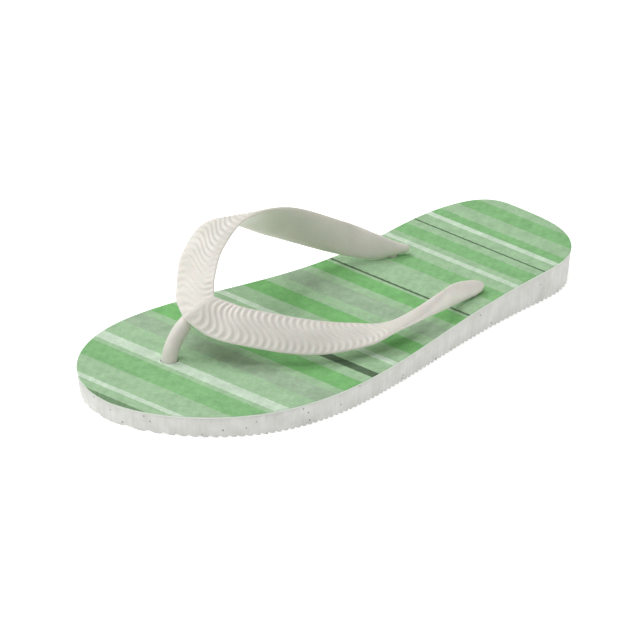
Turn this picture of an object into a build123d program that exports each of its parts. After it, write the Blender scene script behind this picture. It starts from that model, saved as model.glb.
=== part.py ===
from build123d import *
from math import hypot, radians, tan
import os

# Left flip flop, size for a child. Millimetres, +Z up, toe towards -Y, heel towards +Y, and the
# little-toe side towards +X. The origin is on the ground, under the middle of the sole's box.

# ---- Driving dimensions ----
SOLE_LENGTH = 190.0
SOLE_WIDTH = 87.4
BALL_THICKNESS = 8.25      # sole and footbed together, under the ball of the foot
TOE_DROP = 1.15            # the sole is this much thinner at the toe
HEEL_RISE = 3.65           # and this much thicker at the heel
FOOTBED_THICKNESS = 0.8    # printed, embossed footbed layer
WALL_DRAFT = 6.5           # degrees, the wall leans in towards the ground
TREAD_PITCH = 2.15
TREAD_DEPTH = 0.75
TREAD_LAND = 1.0           # flat top of each tread rib
STEM_DIAMETER = 3.2        # rear stems of the strap
POST_DIAMETER = 5.2        # toe post
STEM_CLEARANCE = 0.1       # all round, between a stem and its hole
PLUG_DIAMETER = 9.5
PLUG_THICKNESS = 2.2
PLUG_CLEARANCE = 0.3       # all round, between a plug and its recess
PLUG_HEADROOM = 1.0        # from the ground up to a plug
STRAP_THICKNESS = 2.6
TIP_FLAT = 0.2             # at its narrowest, an arm is this much wider than it is thick
STRAP_TIP_WIDTH = STRAP_THICKNESS + TIP_FLAT
POST_LEAN = (0, 0.75, 0.65)  # direction in which the toe post meets the yoke
SECTIONS_PER_STATION = 3   # how finely an arm is drawn between two of its stations

# ---- Footbed curve, along the sole ----
TOE_CURVE_START = -45.0    # the toe thins ahead of this
HEEL_WEDGE_START = -20.0   # the wedge grows behind this
HEEL_WEDGE_BLEND = 25.0
HALF_LENGTH = SOLE_LENGTH / 2
PROFILE_OVERRUN = 5.0      # the cutting profiles run past the toe and the heel
PROFILE_STEPS = 16
SLAB_SPARE = 1.1           # the block that is cut to the footbed curve is this much taller than the heel
SLAB_HEIGHT = BALL_THICKNESS + HEEL_RISE + SLAB_SPARE

# ---- Outline at the ball's height, as shares of half the width and half the length ----
OUTLINE = [
    (-0.09, 0.994), (0.35, 0.965), (0.62, 0.865), (0.71, 0.655), (0.805, 0.263),
    (0.977, -0.210), (1.000, -0.460), (0.845, -0.720), (0.455, -0.912), (-0.14, -1.003),
    (-0.65, -0.910), (-0.95, -0.695), (-1.000, -0.463), (-0.868, -0.147), (-0.680, 0.163),
    (-0.614, 0.526), (-0.605, 0.810), (-0.43, 0.974),
]

# ---- Strap pattern: drawn for a sole of this size, and graded with SOLE_LENGTH and SOLE_WIDTH ----
PATTERN_LENGTH = 190.0
PATTERN_WIDTH = 87.4

# Each arm's stations from the yoke crease to the tip, as (toe-side edge, ankle-side edge). A point's
# third number is its height above the footbed.
CREASE = ((-12.2, -54.1, 11.7), (-9.4, -43.3, 17.1))
LATERAL_ARM = [
    CREASE,
    ((-3.1, -52.5, 8.2), (-4.0, -40.9, 15.9)),
    ((7.9, -47.7, 6.7), (1.4, -38.5, 14.9)),
    ((23.1, -33.2, 3.6), (14.6, -25.8, 11.2)),
    ((31.8, -15.9, 3.8), (20.5, -12.3, 7.2)),
    ((33.6, -1.5, 5.7), (25.7, 1.9, 4.4)),
    ((30.3, 18.3, 2.9), (27.3, 22.6, 8.0)),
    ((27.4, 31.4, 0.8), (23.8, 32.1, 6.2)),
    ((27.3, 38.6, 0.6), (23.2, 39.9, 4.2)),
    ((26.4, 43.8, 0.6), (24.2, 44.9, 2.4)),
]
MEDIAL_ARM = [
    CREASE,
    ((-18.4, -50.6, 13.0), (-11.8, -40.7, 18.9)),
    ((-24.3, -45.7, 14.5), (-14.1, -38.1, 20.8)),
    ((-34.4, -32.5, 21.1), (-22.7, -25.6, 23.8)),
    ((-41.4, -12.3, 23.1), (-29.4, -8.1, 26.2)),
    ((-37.4, 8.4, 12.0), (-31.7, 13.3, 22.1)),
    ((-25.6, 26.7, 2.9), (-25.1, 31.9, 12.5)),
    ((-16.4, 35.0, 0.7), (-17.6, 39.0, 8.0)),
    ((-13.1, 41.7, 0.5), (-13.0, 44.7, 4.2)),
    ((-10.5, 46.7, 0.6), (-11.2, 48.3, 2.6)),
]
TOE_HOLE = (-11.9, -61.2)
LATERAL_HOLE = (25.0, 39.4)
MEDIAL_HOLE = (-14.0, 42.8)
POST_MIDDLE = (-12.9, -57.9, 4.9)
POST_TOP = (-12.8, -50.8, 12.2)
STEM_GRIP = 2.6            # how far a rear stem reaches above the footbed, into the arm


def footbed_height(y):
    """Height of the footbed above the ground: level at the ball, thinner at the toe, a wedge behind."""
    toe_part = max(0.0, TOE_CURVE_START - y) / (HALF_LENGTH + TOE_CURVE_START)
    behind = max(0.0, y - HEEL_WEDGE_START)
    full = HALF_LENGTH - HEEL_WEDGE_START
    wedge = hypot(behind, HEEL_WEDGE_BLEND) - HEEL_WEDGE_BLEND
    full_wedge = hypot(full, HEEL_WEDGE_BLEND) - HEEL_WEDGE_BLEND
    return BALL_THICKNESS - TOE_DROP * toe_part**2 + HEEL_RISE * wedge / full_wedge


def graded(x, y, height=0.0):
    """A point of the strap's pattern, graded to this sole: height is measured up from the footbed."""
    graded_y = y * SOLE_LENGTH / PATTERN_LENGTH
    return Vector(x * SOLE_WIDTH / PATTERN_WIDTH, graded_y, footbed_height(graded_y) + height)


def outline_ring(z):
    """The sole's outline at height z: it grows with height, as the wall leans out, and is true at the ball."""
    lean = (z - BALL_THICKNESS) * tan(radians(WALL_DRAFT))
    points = [(x * (SOLE_WIDTH / 2 + lean), y * (HALF_LENGTH + lean)) for x, y in OUTLINE]
    return Pos(0, 0, z) * make_face(Spline(*points, periodic=True))


def slab():
    """The die-cut block: the sole's outline with its leaning wall, with flat ends."""
    return loft([outline_ring(0), outline_ring(SLAB_HEIGHT)], ruled=True)


def height_line(drop):
    """The footbed curve, lowered by drop, as (y, z) points."""
    reach = HALF_LENGTH + PROFILE_OVERRUN
    ys = [-reach + 2 * reach * i / PROFILE_STEPS for i in range(PROFILE_STEPS + 1)]
    return [(y, footbed_height(y) - drop) for y in ys]


def across(face):
    """A side profile drawn in Y and Z, run right across the sole."""
    return extrude(Plane.YZ * face, amount=SOLE_WIDTH, both=True)


def footbed_profile():
    upper, lower = height_line(0), height_line(FOOTBED_THICKNESS)
    edges = [Spline(*upper), Line(upper[-1], lower[-1]), Spline(*lower), Line(lower[0], upper[0])]
    return make_face(edges)


def sole_profile():
    upper = height_line(FOOTBED_THICKNESS)
    heel, toe = (upper[-1][0], 0), (upper[0][0], 0)
    edges = [Spline(*upper), Line(upper[-1], heel), Line(heel, toe), Line(toe, upper[0])]
    return make_face(edges)


def tread_grooves():
    """Grooves across the underside that leave a flat land on each rib."""
    mouth = TREAD_PITCH - TREAD_LAND
    floor = mouth / 3
    groove = make_face(
        Polyline(
            (-mouth / 2, 0),
            (-floor / 2, TREAD_DEPTH),
            (floor / 2, TREAD_DEPTH),
            (mouth / 2, 0),
            (0, -TREAD_DEPTH),
            close=True,
        )
    )
    count = int(SOLE_LENGTH / TREAD_PITCH)
    first = -(count - 1) / 2 * TREAD_PITCH
    return [Pos(0, first + i * TREAD_PITCH, 0) * across(groove) for i in range(count)]


def stem_holes():
    """The three holes through the sole and footbed, each with its stem's radius and clearance."""
    holes = [(TOE_HOLE, POST_DIAMETER), (LATERAL_HOLE, STEM_DIAMETER), (MEDIAL_HOLE, STEM_DIAMETER)]
    return [
        Pos(graded(*place)) * Cylinder(diameter / 2 + STEM_CLEARANCE, 4 * SLAB_HEIGHT)
        for place, diameter in holes
    ]


def plug_recesses():
    height = PLUG_HEADROOM + PLUG_THICKNESS + PLUG_CLEARANCE
    radius = PLUG_DIAMETER / 2 + PLUG_CLEARANCE
    places = [graded(*place) for place in (TOE_HOLE, LATERAL_HOLE, MEDIAL_HOLE)]
    return [Pos(place.X, place.Y, 0) * Cylinder(radius, 2 * height) for place in places]


def printed_footbed(block):
    layer = block & across(footbed_profile())
    for hole in stem_holes():
        layer -= hole
    return layer


def sole(block):
    body = block & across(sole_profile())
    for cut in stem_holes() + plug_recesses():
        body -= cut
    return body - tread_grooves()


def curve_through(points):
    """Points on a smooth curve through the given ones (Catmull-Rom), ends included."""
    line = []
    for i in range(len(points) - 1):
        before = points[max(i - 1, 0)]
        start, end = points[i], points[i + 1]
        after = points[min(i + 2, len(points) - 1)]
        for step in range(SECTIONS_PER_STATION):
            t = step / SECTIONS_PER_STATION
            swing = (end - before) * 0.5 * t
            bend = (before * 2 - start * 5 + end * 4 - after) * 0.5 * t**2
            twist = (start * 3 - before - end * 3 + after) * 0.5 * t**3
            line.append(start + swing + bend + twist)
    return line + [points[-1]]


def arm(stations):
    """One arm of the strap: a band lofted from the yoke to its tip."""
    toe_side = curve_through([graded(*front) for front, _ in stations])
    ankle_side = curve_through([graded(*back) for _, back in stations])
    middles = [(front + back) * 0.5 for front, back in zip(toe_side, ankle_side)]
    last = len(middles) - 1
    sections = []
    for i, middle in enumerate(middles):
        across_band = ankle_side[i] - toe_side[i]
        along = middles[min(i + 1, last)] - middles[max(i - 1, 0)]
        along -= across_band * (along.dot(across_band) / across_band.dot(across_band))
        plane = Plane(origin=middle, x_dir=across_band, z_dir=along)
        width = max(across_band.length, STRAP_TIP_WIDTH)
        sections.append(plane * SlotOverall(width, STRAP_THICKNESS))
    return loft(sections, ruled=True)


def plug_and_stem(top, diameter):
    """A plug in its recess, and the round stem from it straight up to top."""
    length = top.Z - PLUG_HEADROOM
    plug = Cylinder(PLUG_DIAMETER / 2, PLUG_THICKNESS)
    plug = Pos(top.X, top.Y, PLUG_HEADROOM + PLUG_THICKNESS / 2) * plug
    return plug + Pos(top.X, top.Y, PLUG_HEADROOM + length / 2) * Cylinder(diameter / 2, length)


def toe_post():
    """Round post: straight up through the hole, then leaning back to the yoke."""
    start = graded(*TOE_HOLE)
    path = Spline(start, graded(*POST_MIDDLE), graded(*POST_TOP), tangents=[(0, 0, 1), POST_LEAN])
    leaning = sweep(Plane(start, z_dir=(0, 0, 1)) * Circle(POST_DIAMETER / 2), path=path)
    return leaning + plug_and_stem(start, POST_DIAMETER)


def strap():
    body = arm(LATERAL_ARM) + arm(MEDIAL_ARM) + toe_post()
    for place in (LATERAL_HOLE, MEDIAL_HOLE):
        body += plug_and_stem(graded(*place, STEM_GRIP), STEM_DIAMETER)
    return body


def main():
    os.makedirs("parts", exist_ok=True)
    block = slab()
    nodes = {"printed_footbed": printed_footbed(block), "sole": sole(block), "strap": strap()}
    for name, shape in nodes.items():
        export_step(shape, f"parts/{name}.step")


main()
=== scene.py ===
import math

import bmesh
import bpy
import numpy as np
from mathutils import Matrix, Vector


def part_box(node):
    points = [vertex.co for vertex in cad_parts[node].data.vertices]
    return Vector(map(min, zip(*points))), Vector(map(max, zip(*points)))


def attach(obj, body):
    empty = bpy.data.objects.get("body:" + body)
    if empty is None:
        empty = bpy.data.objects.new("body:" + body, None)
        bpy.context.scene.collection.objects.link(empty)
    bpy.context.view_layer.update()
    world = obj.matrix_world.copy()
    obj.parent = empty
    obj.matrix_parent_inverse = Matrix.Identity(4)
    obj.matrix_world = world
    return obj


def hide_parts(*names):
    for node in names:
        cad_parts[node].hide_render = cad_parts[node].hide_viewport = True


# Left flip flop, in a child's size. Toe towards -Y, heel towards +Y, little-toe side towards +X,
# ground at z = 0. Sizes and places are in millimetres, and MM turns them into metres. The stage
# (floor, lights and camera), the noise scales and the bump distances are in metres.
MM = 0.001

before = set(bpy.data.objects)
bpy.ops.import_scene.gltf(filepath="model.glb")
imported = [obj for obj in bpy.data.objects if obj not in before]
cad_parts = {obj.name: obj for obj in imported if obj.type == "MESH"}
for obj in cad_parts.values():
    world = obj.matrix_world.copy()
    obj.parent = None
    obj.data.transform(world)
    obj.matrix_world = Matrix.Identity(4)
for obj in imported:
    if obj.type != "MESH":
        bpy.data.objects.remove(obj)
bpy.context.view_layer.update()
_, footbed_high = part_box("printed_footbed")

# ---- Sole, from the frame and the part's own driving dimensions ----
HALF_LENGTH = 95.0
HALF_WIDTH = 43.7
BALL_THICKNESS = 8.25
TOE_DROP = 1.15
HEEL_RISE = footbed_high.z / MM - BALL_THICKNESS
FOOTBED_THICKNESS = 0.8
WALL_DRAFT = math.radians(6.5)
TOE_CURVE_START = -45.0
HEEL_WEDGE_START = -20.0
HEEL_WEDGE_BLEND = 25.0
TREAD_PITCH = 2.15
OUTLINE = [
    (-0.09, 0.994), (0.35, 0.965), (0.62, 0.865), (0.71, 0.655), (0.805, 0.263),
    (0.977, -0.210), (1.000, -0.460), (0.845, -0.720), (0.455, -0.912), (-0.14, -1.003),
    (-0.65, -0.910), (-0.95, -0.695), (-1.000, -0.463), (-0.868, -0.147), (-0.680, 0.163),
    (-0.614, 0.526), (-0.605, 0.810), (-0.43, 0.974),
]
# One side of a tread rib: (distance from the middle of its land, height above the ground).
RIB_PROFILE = [(0.34, 0.0), (0.46, 0.05), (0.56, 0.17), (0.68, 0.42), (0.80, 0.64), (0.92, 0.73)]
GROOVE_DEPTH = 0.75
TREAD_GROOVES = 88
WALL_BASE = 0.95       # where the plain wall starts, above the tread's grooves
# The wall from its base up: (share of the height to the footbed layer, how far it is drawn in).
WALL_LEVELS = [(0.0, 0.0), (0.05, 0.0), (0.2, 0.0), (0.4, 0.0), (0.6, 0.0), (0.8, 0.0),
               (0.955, 0.0), (0.985, 0.05), (1.0, 0.16)]
WALL_STEP = 0.6        # between columns of points round the wall
LEAST_STEP = 0.12      # nearer than this to a turn of the tread's profile, a column is left out

# ---- Footbed layer ----
EMBOSS_HEIGHT = 0.10
EMBOSS_PITCH_X = 3.2
EMBOSS_PITCH_Y = 5.2
EMBOSS_FADE = 1.2      # from the edge to where the emboss has its full height
EDGE_WIDTH = 0.5       # the softened strip along the top edge
EDGE_DROP = 0.16       # how far that strip falls
# The layer's own edge from its rim down: (depth below the top, how far it is drawn in).
LAYER_LEVELS = [(0.3, -0.05), (0.55, -0.05), (FOOTBED_THICKNESS, 0.02)]
FOOTBED_ROWS = 620
FOOTBED_COLUMNS = 190

# ---- Strap: stations from the yoke crease to the tip, as (toe-side edge, ankle-side edge) ----
# A point's third number is its height above the footbed.
CREASE = ((-12.2, -54.1, 11.7), (-9.4, -43.3, 17.1))
LATERAL_ARM = [
    CREASE,
    ((-3.1, -52.5, 8.2), (-4.0, -40.9, 15.9)),
    ((7.9, -47.7, 6.7), (1.4, -38.5, 14.9)),
    ((23.1, -33.2, 3.6), (14.6, -25.8, 11.2)),
    ((31.8, -15.9, 3.8), (20.5, -12.3, 7.2)),
    ((33.6, -1.5, 5.7), (25.7, 1.9, 4.4)),
    ((30.3, 18.3, 2.9), (27.3, 22.6, 8.0)),
    ((27.4, 31.4, 0.8), (23.8, 32.1, 6.2)),
    ((27.3, 38.6, 0.6), (23.2, 39.9, 4.2)),
    ((26.4, 43.8, 0.6), (24.2, 44.9, 2.4)),
]
MEDIAL_ARM = [
    CREASE,
    ((-18.4, -50.6, 13.0), (-11.8, -40.7, 18.9)),
    ((-24.3, -45.7, 14.5), (-14.1, -38.1, 20.8)),
    ((-34.4, -32.5, 21.1), (-22.7, -25.6, 23.8)),
    ((-41.4, -12.3, 23.1), (-29.4, -8.1, 26.2)),
    ((-37.4, 8.4, 12.0), (-31.7, 13.3, 22.1)),
    ((-25.6, 26.7, 2.9), (-25.1, 31.9, 12.5)),
    ((-16.4, 35.0, 0.7), (-17.6, 39.0, 8.0)),
    ((-13.1, 41.7, 0.5), (-13.0, 44.7, 4.2)),
    ((-10.5, 46.7, 0.6), (-11.2, 48.3, 2.6)),
]
TOE_HOLE = (-11.9, -61.2)
LATERAL_HOLE = (25.0, 39.4)
MEDIAL_HOLE = (-14.0, 42.8)
POST_LINE = [(-11.9, -61.2, -7.0), (-11.9, -61.2, 0.0), (-12.9, -57.9, 4.9), (-13.2, -52.4, 9.8),
             (-12.6, -49.8, 12.2)]
POST_DIAMETER = 5.2
POST_TAPER = 0.5       # share of its width that the post loses at its top, inside the yoke
POST_TAPER_START = 0.7
STEM_DIAMETER = 3.2
STEM_CLEARANCE = 0.25  # wider than in the solids, to keep the strap's remeshed skin off the holes
PLUG_DIAMETER = 9.5
PLUG_THICKNESS = 2.2
PLUG_CLEARANCE = 0.3
PLUG_HEADROOM = 1.0
PLUG_EDGE = 0.35       # rounding of a plug's rims
STEM_GRIP = 2.6        # how far a rear stem rises above the footbed, into its arm
TOE_STEM_DROP = 1.0    # how far below the footbed the toe stem ends, inside the post
CUTTER_BOTTOM = -1.0
CUTTER_TOP = 25.0

# ---- Strap's cross section and ribs ----
BAND_THICKNESS = 2.6
EDGE_THICKNESS = 1.3
EDGE_BLUNTNESS = 7
SECTION_STEP = 0.2     # between an arm's cross sections
HALF_SECTION = 56      # points on an arm's outer face in one section, and as many on its inner face
RIB_HEIGHT = 0.42
RIB_SHARPNESS = 1.3
RIB_FADE = 7.0         # stretch along the arm over which the ribs end
RIM_MARGIN = 0.35      # plain strip at an arm's edge
RIM_WIDTH = 0.9        # next to it, where the ribs rise
TIP_ROUNDING = 2.6
STRAP_VOXEL = 0.24
# Ribs of each arm. Pitch is along the arm. Drift is how far a rib runs on from the ankle-side edge
# to the toe-side edge, and swing how far it waves on the way. Ribs have their full height from
# rib_start after the crease, and none from rib_end on.
LATERAL_RIBS = {"pitch": 2.35, "drift": 2.2, "swing": 1.5, "rib_start": 4, "rib_end": 66}
MEDIAL_RIBS = {"pitch": 3.05, "drift": 10.5, "swing": 2.2, "rib_start": 1.5, "rib_end": 62}


# ---------------------------------------------------------------- shape helpers

def footbed_height(y):
    """Height of the footbed: level at the ball, thinner at the toe, a wedge towards the heel."""
    toe_part = np.maximum(0.0, TOE_CURVE_START - y) / (HALF_LENGTH + TOE_CURVE_START)
    behind = np.maximum(0.0, y - HEEL_WEDGE_START)
    wedge = np.hypot(behind, HEEL_WEDGE_BLEND) - HEEL_WEDGE_BLEND
    full_wedge = math.hypot(HALF_LENGTH - HEEL_WEDGE_START, HEEL_WEDGE_BLEND) - HEEL_WEDGE_BLEND
    return BALL_THICKNESS - TOE_DROP * toe_part**2 + HEEL_RISE * wedge / full_wedge


def closed_spline(points, per_span):
    """Points on the smooth closed cubic curve through the given ones."""
    points = np.array(points, float)
    count = len(points)
    after = np.roll(points, -1, axis=0)
    span = np.linalg.norm(after - points, axis=1)
    slopes = (after - points) / span[:, None]
    matrix = np.zeros((count, count))
    for i in range(count):
        matrix[i, i - 1] += span[i - 1]
        matrix[i, i] += 2 * (span[i - 1] + span[i])
        matrix[i, (i + 1) % count] += span[i]
    bends = np.linalg.solve(matrix, 6 * (slopes - np.roll(slopes, 1, axis=0)))
    line = []
    for i in range(count):
        for t in np.arange(per_span) / per_span:
            a, b = 1 - t, t
            bend = (a**3 - a) * bends[i] + (b**3 - b) * bends[(i + 1) % count]
            line.append(a * points[i] + b * after[i] + bend * span[i] ** 2 / 6)
    return np.array(line)


def curve_through(points, per_span):
    """Points on a smooth open curve through the given ones (Catmull-Rom), ends included."""
    points = np.array(points, float)
    line = []
    for i in range(len(points) - 1):
        before, start = points[max(i - 1, 0)], points[i]
        end, after = points[i + 1], points[min(i + 2, len(points) - 1)]
        for t in np.arange(per_span) / per_span:
            swing = (end - before) * 0.5 * t
            bend = (before * 2 - start * 5 + end * 4 - after) * 0.5 * t**2
            twist = (start * 3 - before - end * 3 + after) * 0.5 * t**3
            line.append(start + swing + bend + twist)
    return np.array(line + [points[-1]])


def even_steps(lines, step):
    """The same curves, with points an even step apart along their mean."""
    mean = sum(lines) / len(lines)
    run = np.concatenate([[0], np.cumsum(np.linalg.norm(np.diff(mean, axis=0), axis=1))])
    places = np.linspace(0, run[-1], int(run[-1] / step) + 1)

    def resampled(line):
        return np.stack([np.interp(places, run, line[:, k]) for k in range(3)], 1)

    return places, [resampled(line) for line in lines]


def above_footbed(points):
    """Points given as (x, y, height above the footbed), in the frame's own heights."""
    points = np.array(points, float)
    points[:, 2] += footbed_height(points[:, 1])
    return points


def unit(vectors):
    """The same directions at length 1."""
    return vectors / np.linalg.norm(vectors, axis=-1, keepdims=True)


def new_mesh(name, points, faces):
    """A smooth-shaded mesh object from points in millimetres, its faces turned outward."""
    mesh = bpy.data.meshes.new(name)
    mesh.from_pydata((np.array(points) * MM).tolist(), [], faces)
    mesh.validate()
    piece = bpy.data.objects.new(name, mesh)
    bpy.context.scene.collection.objects.link(piece)
    face_outward(piece)
    mesh.polygons.foreach_set("use_smooth", [True] * len(mesh.polygons))
    return piece


def face_outward(piece):
    """Turns all faces of the closed shells outward."""
    shell = bmesh.new()
    shell.from_mesh(piece.data)
    bmesh.ops.recalc_face_normals(shell, faces=shell.faces)
    shell.to_mesh(piece.data)
    shell.free()


def apply_modifiers(piece):
    """Replaces the mesh by what its modifiers make of it."""
    bpy.context.view_layer.update()
    shaped = piece.evaluated_get(bpy.context.evaluated_depsgraph_get())
    mesh = bpy.data.meshes.new_from_object(shaped)
    piece.modifiers.clear()
    piece.data = mesh
    return piece


def cut(piece, cutter):
    """Takes the cutter's closed shape out of the piece, and removes the cutter."""
    boolean = piece.modifiers.new("cut", "BOOLEAN")
    boolean.operation = "DIFFERENCE"
    boolean.solver = "EXACT"
    boolean.object = cutter
    apply_modifiers(piece)
    bpy.data.objects.remove(cutter)
    return piece


def band_faces(low, high, count):
    """Quads between two rings of as many points, which start at these point numbers."""
    faces = []
    for i in range(count):
        after = (i + 1) % count
        faces.append([low + i, low + after, high + after, high + i])
    return faces


def tube_faces(rings, sides):
    """Faces of a tube that runs through rings of points in order, with a cap on each end."""
    faces = [list(range(sides))]
    for i in range(rings - 1):
        faces += band_faces(i * sides, (i + 1) * sides, sides)
    faces.append([(rings - 1) * sides + k for k in range(sides)][::-1])
    return faces


def stacked_rings(centre, levels, sides=72):
    """A closed turned shape: levels are (z, radius) from the bottom up, round a vertical line."""
    angles = np.arange(sides) * 2 * math.pi / sides
    points = [
        (centre[0] + radius * math.cos(a), centre[1] + radius * math.sin(a), z)
        for z, radius in levels
        for a in angles
    ]
    faces = [list(range(sides))[::-1]]
    for level in range(len(levels) - 1):
        faces += band_faces(level * sides, (level + 1) * sides, sides)
    faces.append([(len(levels) - 1) * sides + i for i in range(sides)])
    return points, faces


def merged(name, parts):
    """One mesh object from several (points, faces) shells."""
    points, faces = [], []
    for more_points, more_faces in parts:
        start = len(points)
        points += [tuple(p) for p in more_points]
        faces += [[start + i for i in face] for face in more_faces]
    return new_mesh(name, points, faces)


# ---------------------------------------------------------------- sole

def outline_chains():
    """The outline at the ball's height as two chains of points from the toe tip to the heel tip.

    The first chain is the little-toe side, the second the big-toe side.
    """
    shares = np.array(OUTLINE) * (HALF_WIDTH, HALF_LENGTH)
    ring = closed_spline(shares, 120)
    toe, heel = int(np.argmin(ring[:, 1])), int(np.argmax(ring[:, 1]))
    ring = np.roll(ring, -toe, axis=0)
    heel = (heel - toe) % len(ring)
    inner = ring[: heel + 1]
    outer = np.concatenate([ring[heel:], ring[:1]])[::-1]
    return outer, inner


OUTER_CHAIN, INNER_CHAIN = outline_chains()
TOE_TIP = OUTER_CHAIN[0]
HEEL_TIP = OUTER_CHAIN[-1]


def leaned(points, z, inset=0.0):
    """Outline points moved to height z: the wall leans in towards the ground."""
    lean = (z - BALL_THICKNESS) * math.tan(WALL_DRAFT) - inset
    x = points[:, 0] * (1 + lean / HALF_WIDTH)
    y = points[:, 1] * (1 + lean / HALF_LENGTH)
    return np.stack([x, y, z + 0 * x], axis=1)


def tread_breaks():
    """Places along the sole where the tread's profile turns, as (y, height above the ground)."""
    breaks = []
    for rib in range(-(TREAD_GROOVES // 2), TREAD_GROOVES // 2 + 1):
        middle = rib * TREAD_PITCH
        breaks += [(middle - d, h) for d, h in reversed(RIB_PROFILE)]
        breaks += [(middle + d, h) for d, h in RIB_PROFILE]
        breaks.append((middle + TREAD_PITCH / 2, GROOVE_DEPTH))
    reach = TREAD_GROOVES // 2 * TREAD_PITCH
    return np.array([b for b in breaks if abs(b[0]) <= reach])


def side_columns(chain, breaks_y):
    """Points of a chain at every tread break, and evenly between them, from toe to heel."""
    run = np.concatenate([[0], np.cumsum(np.linalg.norm(np.diff(chain, axis=0), axis=1))])
    at_breaks = np.interp(breaks_y, chain[:, 1], run)
    even = np.linspace(0, run[-1], int(run[-1] / WALL_STEP))
    far = np.min(np.abs(even[:, None] - at_breaks[None, :]), axis=1) > LEAST_STEP
    far[0] = far[-1] = True
    places = np.concatenate([even[far], at_breaks])
    order = np.argsort(places)
    is_break = np.concatenate([np.zeros(far.sum(), bool), np.ones(len(at_breaks), bool)])[order]
    places = places[order]
    points = np.stack([np.interp(places, run, chain[:, k]) for k in (0, 1)], 1)
    return points, is_break


def foam_sole():
    """The die-cut foam slab: leaning wall, ribbed underside, stem holes and plug recesses."""
    breaks = tread_breaks()
    ground_stretch = 1 - BALL_THICKNESS * math.tan(WALL_DRAFT) / HALF_LENGTH
    breaks_y = breaks[:, 0] / ground_stretch
    outer, outer_break = side_columns(OUTER_CHAIN, breaks_y)
    inner, inner_break = side_columns(INNER_CHAIN, breaks_y)
    ring = np.concatenate([outer, inner[-2:0:-1]])
    is_break = np.concatenate([outer_break, inner_break[-2:0:-1]])
    bottom = np.interp(ring[:, 1] * ground_stretch, breaks[:, 0], breaks[:, 1], left=0.0, right=0.0)
    top = footbed_height(ring[:, 1]) - FOOTBED_THICKNESS
    count = len(ring)
    levels = [leaned(ring, 0 * bottom)]
    levels[0][:, 2] = bottom
    for share, inset in WALL_LEVELS:
        levels.append(leaned(ring, WALL_BASE + (top - WALL_BASE) * share, inset))
    points = np.concatenate(levels)
    faces = []
    for level in range(len(levels) - 1):
        faces += band_faces(level * count, (level + 1) * count, count)
    faces += cross_strips(len(outer), count, is_break, 0)
    faces += [f[::-1] for f in cross_strips(len(outer), count, is_break, (len(levels) - 1) * count)]
    slab = new_mesh("foam_sole", points, faces)
    cut(slab, merged("recess_cutter", [recess_shape(*hole) for hole in stems()]))
    shade_by_angle(slab, 38)
    return slab


def cross_strips(outer_count, count, is_break, start):
    """Strips across the sole, from one tread break to the next, that close a ring of columns."""
    outer_side = list(range(outer_count))
    inner_side = [0] + list(range(count - 1, outer_count - 2, -1))
    outer_marks = [0] + [i for i in range(1, outer_count - 1) if is_break[i]] + [outer_count - 1]
    inner_marks = [0] + [
        k for k in range(1, len(inner_side) - 1) if is_break[inner_side[k]]
    ] + [len(inner_side) - 1]
    faces = []
    for a, b, c, d in zip(outer_marks, outer_marks[1:], inner_marks, inner_marks[1:]):
        loop = outer_side[a : b + 1] + inner_side[c : d + 1][::-1]
        seen = list(dict.fromkeys(loop))
        faces.append([start + i for i in seen][::-1])
    return faces


def stems():
    """The strap's three stems as (place, diameter)."""
    return [(TOE_HOLE, POST_DIAMETER), (LATERAL_HOLE, STEM_DIAMETER), (MEDIAL_HOLE, STEM_DIAMETER)]


def recess_shape(place, diameter):
    """A plug's recess, and the stem's hole above it."""
    hole = diameter / 2 + STEM_CLEARANCE
    recess = PLUG_DIAMETER / 2 + PLUG_CLEARANCE
    height = PLUG_HEADROOM + PLUG_THICKNESS + PLUG_CLEARANCE
    levels = [(CUTTER_BOTTOM, recess), (height, recess), (height, hole), (CUTTER_TOP, hole)]
    return stacked_rings(place, levels)


def shade_by_angle(piece, degrees):
    """Smooth shading, but edges sharper than this stay crisp."""
    shell = bmesh.new()
    shell.from_mesh(piece.data)
    limit = math.radians(degrees)
    for face in shell.faces:
        face.smooth = True
    for edge in shell.edges:
        edge.smooth = len(edge.link_faces) == 2 and edge.calc_face_angle(0) < limit
    shell.to_mesh(piece.data)
    shell.free()


# ---------------------------------------------------------------- footbed

def emboss(x, y):
    """Height of the footbed's staggered scales, from 0 in the valleys to 1 on the pillows."""
    u = 2 * math.pi * x / EMBOSS_PITCH_X
    v = 2 * math.pi * y / EMBOSS_PITCH_Y
    wave = np.cos(u + 0.5 * np.sin(v)) * np.cos(v + 0.35 * np.sin(2 * u))
    return 0.5 + 0.5 * np.tanh(1.6 * wave)


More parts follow.
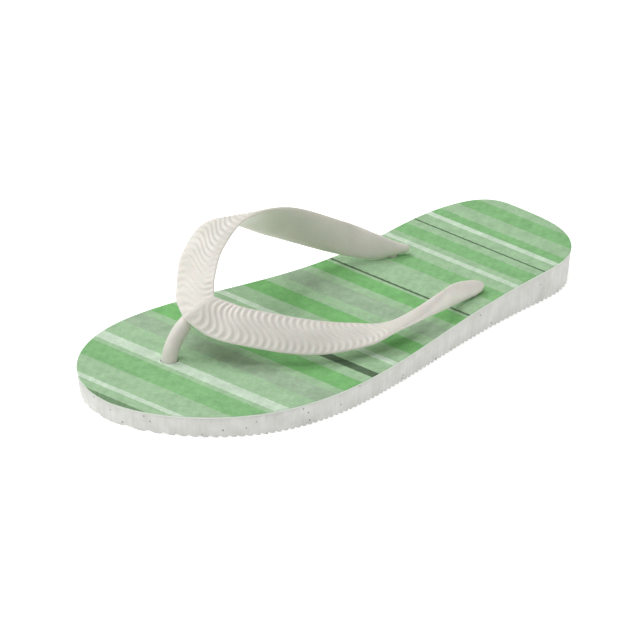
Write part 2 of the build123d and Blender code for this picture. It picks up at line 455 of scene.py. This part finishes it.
def printed_footbed():
    """The printed layer: embossed top, softened edge, and the three stem holes."""
    columns = FOOTBED_COLUMNS
    # Rows and columns of points lie closer together towards the edges.
    angle = np.linspace(0, math.pi, FOOTBED_ROWS)[1:-1]
    middle, half = (HEEL_TIP[1] + TOE_TIP[1]) / 2, (HEEL_TIP[1] - TOE_TIP[1]) / 2
    ys = middle - half * np.cos(angle)
    left = np.interp(ys, INNER_CHAIN[:, 1], INNER_CHAIN[:, 0])
    right = np.interp(ys, OUTER_CHAIN[:, 1], OUTER_CHAIN[:, 0])
    share = 0.5 - 0.5 * np.cos(np.linspace(0, math.pi, columns))
    share = 0.55 * share + 0.45 * np.linspace(0, 1, columns)
    x = left[:, None] + (right - left)[:, None] * share[None, :]
    y = np.repeat(ys[:, None], columns, axis=1)
    z = footbed_height(y)
    flat = np.stack([x.ravel(), y.ravel()], 1)
    top = leaned(flat, z.ravel())
    # The emboss fades out towards the edge.
    edge = np.minimum(x - left[:, None], right[:, None] - x)
    edge = np.minimum(edge, np.minimum(y - TOE_TIP[1], HEEL_TIP[1] - y) * 1.5)
    fade = np.clip(edge / EMBOSS_FADE, 0, 1).ravel()
    top[:, 2] += EMBOSS_HEIGHT * (emboss(top[:, 0], top[:, 1]) - 1) * fade
    top[:, 2] -= EDGE_DROP * (1 - np.clip(edge / EDGE_WIDTH, 0, 1).ravel()) ** 2
    count = len(ys)
    outer_side, inner_side = np.stack([right, ys], 1), np.stack([left, ys], 1)
    boundary = np.concatenate([[TOE_TIP], outer_side, [HEEL_TIP], inner_side[::-1]])
    tips = leaned(boundary[[0, count + 1]], footbed_height(boundary[[0, count + 1], 1]))
    tips[:, 2] -= EDGE_DROP
    boundary_height = footbed_height(boundary[:, 1])
    layers = [leaned(boundary, boundary_height - depth, inset) for depth, inset in LAYER_LEVELS]
    points = np.concatenate([top, tips] + layers)
    toe_index, heel_index = len(top), len(top) + 1
    faces = []
    for r in range(count - 1):
        row, after = r * columns, (r + 1) * columns
        faces += [[row + c, row + c + 1, after + c + 1, after + c] for c in range(columns - 1)]
    faces += [[toe_index, c + 1, c] for c in range(columns - 1)]
    last = (count - 1) * columns
    faces += [[heel_index, last + c, last + c + 1] for c in range(columns - 1)]
    rim = [toe_index] + [r * columns + columns - 1 for r in range(count)] + [heel_index]
    rim += [r * columns for r in range(count - 1, -1, -1)]
    ring = len(boundary)
    first = len(top) + 2
    rings = [rim]
    rings += [list(range(first + k * ring, first + (k + 1) * ring)) for k in range(len(layers))]
    for upper, lower in zip(rings, rings[1:]):
        for i in range(ring):
            after = (i + 1) % ring
            faces.append([upper[i], upper[after], lower[after], lower[i]])
    under = rings[-1]
    faces.append([under[0], under[1], under[-1]])
    for i in range(1, count):
        faces.append([under[i], under[i + 1], under[ring - i - 1], under[ring - i]])
    faces.append([under[count], under[count + 1], under[count + 2]])
    layer = new_mesh("printed_footbed_layer", points, faces)
    holes = []
    for place, diameter in stems():
        radius = diameter / 2 + STEM_CLEARANCE
        holes.append(stacked_rings(place, [(CUTTER_BOTTOM, radius), (CUTTER_TOP, radius)]))
    cut(layer, merged("hole_cutter", holes))
    shade_by_angle(layer, 55)
    return layer


# ---------------------------------------------------------------- strap

def rib_wave(run, share, pitch, drift, swing):
    """Height of the wave ribs, 0 to 1, at run along an arm and at a share of the way across it.

    The share is 0 at the ankle-side edge and 1 at the toe-side edge.
    """
    line = run - drift * share + swing * np.sin(2 * math.pi * share)
    wave = 0.5 + 0.5 * np.cos(2 * math.pi * line / pitch)
    return wave**RIB_SHARPNESS


def arm_shell(stations, outward, pitch, drift, swing, rib_start, rib_end):
    """One arm as a closed band: ribbed outside near the yoke, smooth inside, thin round edges.

    Outward is 1 or -1, for the side of the stations' surface that faces out.
    """
    toe_side = curve_through(above_footbed([front for front, _ in stations]), 24)
    ankle_side = curve_through(above_footbed([back for _, back in stations]), 24)
    run, (toe_side, ankle_side) = even_steps([toe_side, ankle_side], SECTION_STEP)
    middle = (toe_side + ankle_side) / 2
    across = toe_side - ankle_side
    width = np.linalg.norm(across, axis=1)
    along = np.gradient(middle, axis=0)
    across_unit = across / width[:, None]
    normal = unit(np.cross(along, across_unit)) * outward
    length = run[-1]
    tip = np.clip((length - run) / TIP_ROUNDING, 0, 1)
    tip_round = np.sqrt(1 - (1 - tip) ** 2)
    half = np.maximum(width, BAND_THICKNESS + 0.2) / 2
    angles = np.arange(2 * HALF_SECTION) * math.pi / HALF_SECTION
    # A flattened oval section: t runs -1 to 1 across the band, thin at both edges.
    t = -np.cos(angles)
    side = np.where(np.sin(angles) >= 0, 1.0, -1.0)
    rounding = np.sqrt(np.clip(1 - np.abs(t) ** EDGE_BLUNTNESS, 0, 1))
    crown = EDGE_THICKNESS / 2 + (BAND_THICKNESS - EDGE_THICKNESS) / 2 * (1 - t**2)
    share = (t + 1) / 2
    points = []
    for i in range(len(run)):
        # Where the arm is narrower than at the crease, its ribs drift and swing less.
        narrowing = (width[i] / width[0]) ** 1.5
        ribs = rib_wave(run[i], share, pitch, drift * narrowing, swing * narrowing)
        inside = np.clip((half[i] * (1 - np.abs(t)) - RIM_MARGIN) / RIM_WIDTH, 0, 1)
        fade = np.clip((rib_end - run[i]) / RIB_FADE, 0, 1) * np.clip(run[i] / rib_start, 0, 1)
        lift = RIB_HEIGHT * (ribs - 1) * inside * fade * (side > 0)
        offset = side * rounding * crown * (0.3 + 0.7 * tip_round[i]) + lift
        reach = t * half[i] * (0.25 + 0.75 * tip_round[i])
        points.append(middle[i] + reach[:, None] * across_unit[i] + offset[:, None] * normal[i])
    return np.concatenate(points), tube_faces(len(run), 2 * HALF_SECTION)


def post_shell():
    """The round toe post, swept from under the footbed up into the yoke, narrower at its top."""
    line = curve_through(above_footbed(POST_LINE), 20)
    _, (line,) = even_steps([line], 0.35)
    along = unit(np.gradient(line, axis=0))
    side = unit(np.cross(along, np.array([1.0, 0.0, 0.0])))
    other = np.cross(along, side)
    sides = 64
    angles = np.arange(sides) * 2 * math.pi / sides
    place = np.linspace(0, 1, len(line))
    into_yoke = np.clip((place - POST_TAPER_START) / (1 - POST_TAPER_START), 0, 1)
    radius = POST_DIAMETER / 2 * (1 - POST_TAPER * into_yoke**2)
    points = [
        line[i] + radius[i] * (math.cos(a) * side[i] + math.sin(a) * other[i])
        for i in range(len(line))
        for a in angles
    ]
    return points, tube_faces(len(line), sides)


def plug_shell(place, diameter, top):
    """A plug with rounded rims, and the stem that goes up from it."""
    edge = PLUG_EDGE
    base, head = PLUG_HEADROOM, PLUG_HEADROOM + PLUG_THICKNESS
    radius, stem = PLUG_DIAMETER / 2, diameter / 2
    levels = [
        (base, radius - 2 * edge), (base + 0.06, radius - edge), (base + edge, radius),
        (head - edge, radius), (head, radius - edge),
        (head, stem + 0.2), (head + 0.4, stem), (top, stem),
    ]
    return stacked_rings(place, levels)


def moulded_strap():
    """The one-piece strap: two wave-ribbed arms, the toe post, the stems and their plugs."""
    shells = [
        arm_shell(LATERAL_ARM, -1, **LATERAL_RIBS),
        arm_shell(MEDIAL_ARM, 1, **MEDIAL_RIBS),
        post_shell(),
    ]
    for place, diameter in stems():
        top = float(footbed_height(place[1]))
        top += STEM_GRIP if place != TOE_HOLE else -TOE_STEM_DROP
        shells.append(plug_shell(place, diameter, top))
    strap = merged("moulded_strap", shells)
    remesh = strap.modifiers.new("one_skin", "REMESH")
    remesh.mode = "VOXEL"
    remesh.voxel_size = STRAP_VOXEL * MM
    remesh.use_smooth_shade = True
    soften = strap.modifiers.new("soften", "CORRECTIVE_SMOOTH")
    soften.factor = 0.5
    soften.iterations = 3
    soften.use_only_smooth = True
    apply_modifiers(strap)
    return strap


# ---------------------------------------------------------------- materials

def srgb(r, g, b):
    """A display colour, 0 to 255, as the linear colour that shaders use."""
    shares = [c / 255 for c in (r, g, b)]
    linear = [c / 12.92 if c <= 0.04045 else ((c + 0.055) / 1.055) ** 2.4 for c in shares]
    return (*linear, 1.0)


class Nodes:
    """A material's node tree, with short calls to add and link nodes."""

    def __init__(self, name):
        self.material = bpy.data.materials.new(name)
        self.material.use_nodes = True
        self.tree = self.material.node_tree
        self.shader = self.tree.nodes["Principled BSDF"]

    def add(self, kind, inputs=None, **settings):
        """A node with its settings, and each input linked to a socket or set to a value."""
        node = self.tree.nodes.new(kind)
        for key, value in settings.items():
            setattr(node, key, value)
        for key, value in (inputs or {}).items():
            if isinstance(value, bpy.types.NodeSocket):
                self.tree.links.new(value, node.inputs[key])
            else:
                node.inputs[key].default_value = value
        return node

    def place(self, scale=(1, 1, 1)):
        """Object coordinates, scaled."""
        coordinates = self.add("ShaderNodeTexCoord").outputs["Object"]
        return self.add("ShaderNodeMapping", {"Vector": coordinates, "Scale": scale}).outputs[0]

    def noise(self, scale, detail=2.0, stretch=(1, 1, 1)):
        """Soft random values; a stretch below 1 draws them out along that axis."""
        inputs = {"Vector": self.place(stretch), "Scale": scale, "Detail": detail}
        return self.add("ShaderNodeTexNoise", inputs).outputs["Fac"]

    def maths(self, operation, *values):
        """The result of a sum on sockets or numbers."""
        node = self.add("ShaderNodeMath", operation=operation)
        for i, value in enumerate(values):
            if isinstance(value, bpy.types.NodeSocket):
                self.tree.links.new(value, node.inputs[i])
            else:
                node.inputs[i].default_value = value
        return node.outputs[0]

    def ramp(self, factor, stops, interpolation="LINEAR"):
        """Colour by factor, from stops given as (position, colour)."""
        node = self.add("ShaderNodeValToRGB", {"Fac": factor})
        node.color_ramp.interpolation = interpolation
        elements = node.color_ramp.elements
        while len(elements) > 1:
            elements.remove(elements[-1])
        elements[0].position, elements[0].color = stops[0]
        for position, colour in stops[1:]:
            elements.new(position).color = colour
        return node.outputs[0]

    def spread(self, factor, low, high):
        """From low to high, each a colour or a plain grey, over the range where noise mostly is."""
        ends = [value if isinstance(value, tuple) else (value,) * 3 + (1,) for value in (low, high)]
        return self.ramp(factor, [(0.3, ends[0]), (0.7, ends[1])])

    def mix(self, factor, a, b, blend="MIX"):
        """Two colours mixed by factor."""
        node = self.add("ShaderNodeMix", data_type="RGBA", blend_type=blend)
        for socket, value in ((0, factor), (6, a), (7, b)):
            if isinstance(value, bpy.types.NodeSocket):
                self.tree.links.new(value, node.inputs[socket])
            else:
                node.inputs[socket].default_value = value
        return node.outputs[2]

    def bump(self, height, strength, distance, base=None):
        """A surface direction bumped by height, on top of the base's."""
        inputs = {"Height": height, "Strength": strength, "Distance": distance}
        if base is not None:
            inputs["Normal"] = base
        return self.add("ShaderNodeBump", inputs).outputs[0]

    def finish(self, colour, normal, **sockets):
        """Feeds the shader, and returns the material; a socket's spaces are underscores here."""
        self.tree.links.new(colour, self.shader.inputs["Base Color"])
        self.tree.links.new(normal, self.shader.inputs["Normal"])
        for key, value in sockets.items():
            socket = self.shader.inputs[key.replace("_", " ")]
            if isinstance(value, bpy.types.NodeSocket):
                self.tree.links.new(value, socket)
            else:
                socket.default_value = value
        return self.material


# Colours of the print.
PALE = srgb(163, 200, 157)
MID = srgb(134, 191, 126)
STRONG = srgb(122, 189, 112)
WHITISH = srgb(205, 227, 202)
GREYED = srgb(160, 187, 155)
DARK = srgb(78, 106, 74)
EDGE_GREY = srgb(112, 148, 106)
# Its stripes across the sole: each colour starts at this y and runs to the next.
FRONT_STRIPES = [
    (-99.0, EDGE_GREY), (-92.8, PALE), (-88.7, WHITISH), (-86.5, PALE), (-76.9, MID),
    (-67.2, PALE), (-65.0, WHITISH), (-59.9, PALE), (-50.8, GREYED), (-42.3, PALE),
    (-38.8, STRONG), (-30.5, PALE), (-25.4, DARK), (-21.9, PALE), (-14.7, WHITISH),
    (-11.7, PALE), (-4.9, STRONG), (2.6, PALE), (8.1, GREYED),
]
REAR_STRIPES = [
    (16.2, PALE), (19.8, STRONG), (26.3, PALE), (27.5, DARK), (28.2, PALE), (40.0, MID),
    (46.6, PALE), (51.6, WHITISH), (54.0, PALE), (56.8, MID), (62.6, PALE), (66.3, DARK),
    (67.0, PALE), (71.6, WHITISH), (73.8, MID), (77.6, PALE), (84.0, MID), (90.1, PALE),
]
RAMP_START = -97.0
RAMP_END = 97.0


def striped(n, y, stripes, start, end):
    """Colour by y: the stripes between start and end."""
    share = n.maths("DIVIDE", n.maths("ADD", y, -start * MM), (end - start) * MM)
    stops = [(max(0.0, (begin - start) / (end - start)), colour) for begin, colour in stripes]
    return n.ramp(share, stops, "CONSTANT")


def footbed_material():
    """Printed cross stripes in mottled greens on a satin layer, with a pale cut edge."""
    n = Nodes("footbed_print")
    y = n.add("ShaderNodeSeparateXYZ", {"Vector": n.place()}).outputs["Y"]
    # A ramp is stored in a fixed number of steps, so two of them keep the stripes' edges in place.
    middle = REAR_STRIPES[0][0]
    front = striped(n, y, FRONT_STRIPES, RAMP_START, middle)
    rear = striped(n, y, REAR_STRIPES, middle, RAMP_END)
    stripes = n.mix(n.maths("GREATER_THAN", y, middle * MM), front, rear)
    # Ink sits unevenly on the emboss: soft blotches, then a finer grain.
    blotch = n.spread(n.noise(300, 3), (0.86, 0.86, 0.86, 1), (1.08, 1.06, 1.08, 1))
    printed = n.mix(1.0, stripes, blotch, "MULTIPLY")
    grain = n.spread(n.noise(1500), (0.89, 0.92, 0.89, 1), (1.07, 1.05, 1.07, 1))
    printed = n.mix(1.0, printed, grain, "MULTIPLY")
    facing = n.add("ShaderNodeNewGeometry").outputs["Normal"]
    up = n.add("ShaderNodeSeparateXYZ", {"Vector": facing}).outputs["Z"]
    on_top = n.maths("GREATER_THAN", up, 0.5)
    colour = n.mix(on_top, srgb(205, 212, 200), printed)
    fine = n.bump(n.noise(2200, 3), 0.25, 0.00012)
    weave = n.bump(n.noise(700, 2, (1, 0.6, 1)), 0.45, 0.00025, fine)
    roughness = n.spread(n.noise(400), 0.5, 0.64)
    return n.finish(colour, weave, Roughness=roughness, Specular_IOR_Level=0.42)


def foam_material():
    """Off-white sponge rubber: fine upright cut marks, pores, and small dark flecks."""
    n = Nodes("sole_foam")
    # A fleck sits in the middle of one small cell in ten.
    cell = n.add("ShaderNodeTexVoronoi", {"Vector": n.place(), "Scale": 620.0, "Randomness": 1.0})
    chosen = n.add("ShaderNodeSeparateColor", {"Color": cell.outputs["Color"]}).outputs[0]
    near = n.maths("LESS_THAN", cell.outputs["Distance"], 0.22)
    rare = n.maths("GREATER_THAN", chosen, 0.90)
    fleck = n.maths("MULTIPLY", near, rare)
    tone = n.spread(n.noise(180, 4), srgb(204, 204, 199), srgb(219, 219, 215))
    marks = n.noise(900, 3, (1, 1, 0.09))
    streaked = n.mix(1.0, tone, n.spread(marks, 0.93, 1.03), "MULTIPLY")
    colour = n.mix(n.maths("MULTIPLY", fleck, 0.75), streaked, srgb(118, 118, 112))
    cuts = n.bump(marks, 0.45, 0.00025)
    pores = n.bump(n.noise(2600, 3), 0.35, 0.00015, cuts)
    return n.finish(colour, pores, Roughness=0.86, Specular_IOR_Level=0.25)


def strap_material():
    """Warm white satin rubber, with a hint of unevenness from the mould."""
    n = Nodes("strap_rubber")
    tone = n.spread(n.noise(120, 3), srgb(221, 217, 208), srgb(231, 227, 218))
    colour = n.mix(1.0, tone, n.spread(n.noise(1300), 0.97, 1.01), "MULTIPLY")
    mould = n.bump(n.noise(260), 0.12, 0.0004)
    grain = n.bump(n.noise(3200), 0.18, 0.00006, mould)
    roughness = n.spread(n.noise(500), 0.38, 0.47)
    return n.finish(colour, grain, Roughness=roughness, Specular_IOR_Level=0.4,
                    Subsurface_Weight=0.08, Subsurface_Scale=0.002)


def dress(piece, material, node):
    """Gives a finished piece its material and its body, and hides the imported part of that node.
    """
    piece.data.materials.clear()
    piece.data.materials.append(material)
    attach(piece, "root")
    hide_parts(node)
    return piece


# ---------------------------------------------------------------- stage

FLOOR_REACH = 6.0
FLOOR_GLOW = 0.55      # keeps the floor white round the tread
WORLD_STRENGTH = 0.31
CAMERA_LENS = 1000
CAMERA_PLACE = (3.6303, -3.7110, 2.4258)
CAMERA_TILT = 65
CAMERA_TURN = 44.4


def floor():
    """A wide pale floor, which the tread stands on."""
    corners = [(-FLOOR_REACH, -FLOOR_REACH, 0), (FLOOR_REACH, -FLOOR_REACH, 0),
               (FLOOR_REACH, FLOOR_REACH, 0), (-FLOOR_REACH, FLOOR_REACH, 0)]
    mesh = bpy.data.meshes.new("floor")
    mesh.from_pydata(corners, [], [[0, 1, 2, 3]])
    plane = bpy.data.objects.new("floor", mesh)
    bpy.context.scene.collection.objects.link(plane)
    n = Nodes("pale_floor")
    tone = n.spread(n.noise(3), 0.86, 0.88)
    n.finish(tone, n.bump(n.noise(400), 0.05, 0.0005), Roughness=0.9, Specular_IOR_Level=0.1,
             Emission_Color=(1, 1, 1, 1), Emission_Strength=FLOOR_GLOW)
    plane.data.materials.append(n.material)


def soft_light(name, place, size, power):
    """A square white area light aimed at the shoe; its power is in watts."""
    data = bpy.data.lights.new(name, "AREA")
    data.size = size
    data.energy = power
    lamp = bpy.data.objects.new(name, data)
    lamp.location = place
    lamp.rotation_euler = (-Vector(place)).to_track_quat("-Z", "Y").to_euler()
    bpy.context.scene.collection.objects.link(lamp)


def lights():
    """Four soft lights round the shoe and a white world, shown without tone mapping."""
    soft_light("key_light", (-1.1, 0.1, 1.15), 0.7, 12)
    soft_light("top_light", (-0.1, -0.3, 1.6), 0.9, 8)
    soft_light("toe_light", (-0.1, -1.7, 0.35), 1.0, 6)
    soft_light("heel_light", (1.2, 1.5, 0.3), 1.0, 10)
    world = bpy.data.worlds.new("studio")
    world.use_nodes = True
    background = world.node_tree.nodes["Background"]
    background.inputs["Color"].default_value = (1, 1, 1, 1)
    background.inputs["Strength"].default_value = WORLD_STRENGTH
    bpy.context.scene.world = world
    bpy.context.scene.view_settings.view_transform = "Standard"


def camera():
    """A long lens, 25 degrees above the floor, from the little-toe side of the toe."""
    data = bpy.data.cameras.new("camera")
    data.lens = CAMERA_LENS
    data.sensor_width = 36
    data.clip_end = 60
    eye = bpy.data.objects.new("camera", data)
    eye.location = CAMERA_PLACE
    eye.rotation_euler = (math.radians(CAMERA_TILT), 0, math.radians(CAMERA_TURN))
    bpy.context.scene.collection.objects.link(eye)
    bpy.context.scene.camera = eye


dress(foam_sole(), foam_material(), "sole")
dress(printed_footbed(), footbed_material(), "printed_footbed")
dress(moulded_strap(), strap_material(), "strap")
floor()
lights()
camera()
